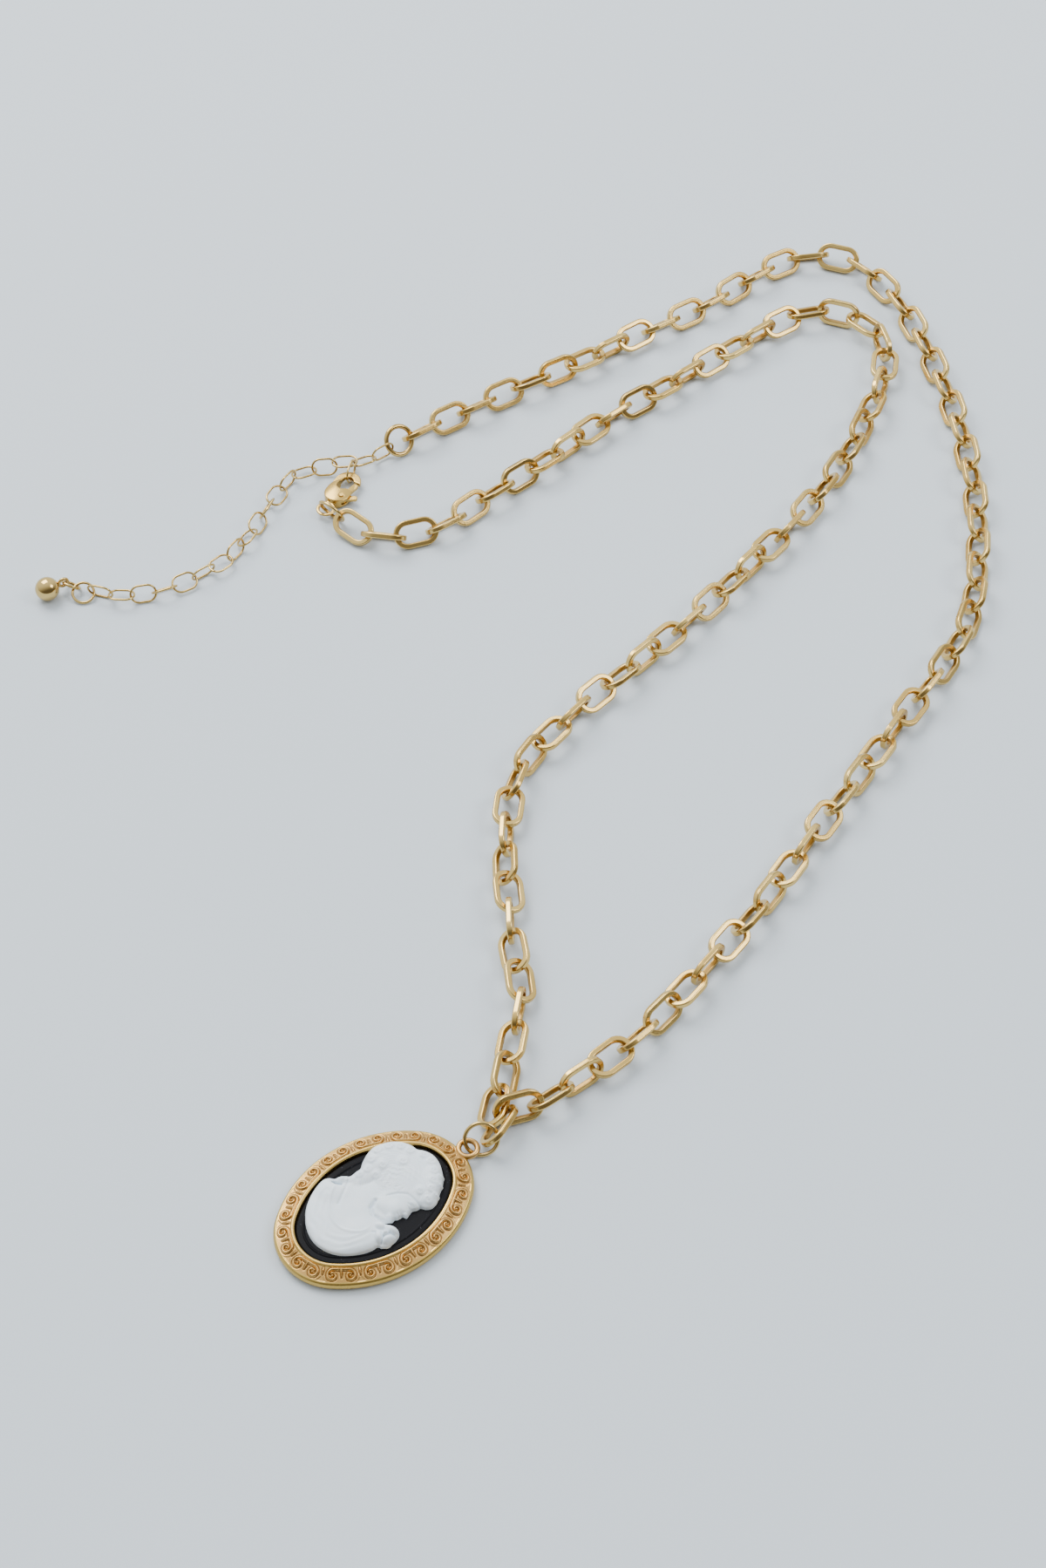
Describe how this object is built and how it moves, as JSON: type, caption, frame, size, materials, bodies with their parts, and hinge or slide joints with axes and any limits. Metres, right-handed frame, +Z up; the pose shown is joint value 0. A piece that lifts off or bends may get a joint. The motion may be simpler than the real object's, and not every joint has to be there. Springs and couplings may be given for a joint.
{
  "type": "cameo pendant necklace",
  "caption": "Oval cameo pendant with a white bust on black in a scrolled gold frame, on an oval-link chain with lobster clasp and extender, laid flat",
  "frame": {"origin": "middle of the pendant's flat back, on the surface it rests on", "axes": "+Z is up out of the cameo's face, +Y runs along the longest side of the necklace as it lies, +X is to the right."},
  "size_m": [0.2066, 0.2771, 0.0067],
  "materials": {
    "matte_gold": "matte",
    "polished_gold": "polished",
    "black_ground": "satin",
    "white_relief": "matte"
  },
  "bodies": {
    "necklace": {"pendant_frame": "matte_gold", "cameo_ground": "black_ground", "cameo_figure": "white_relief", "pendant_ring": "polished_gold", "hanger_link": "matte_gold", "chain_outer": "matte_gold", "chain_inner": "matte_gold", "clasp_ring": "polished_gold", "clasp_body": "polished_gold", "clasp_pin": "polished_gold", "extender_ring": "polished_gold", "extender_chain": "polished_gold", "end_ring": "polished_gold", "drop_ring": "polished_gold", "ball_drop": "polished_gold"},
    "lever": {"clasp_lever": "polished_gold"}
  },
  "joints": [
    {"name": "clasp_lever_hinge", "type": "hinge", "parent": "necklace", "child": "lever", "pos_m": [-0.01291, 0.17917, 0.00154], "axis": [0, 0, 1], "range_deg": [0, 28], "stiffness_Nm_per_rad": 0.002}
  ]
}
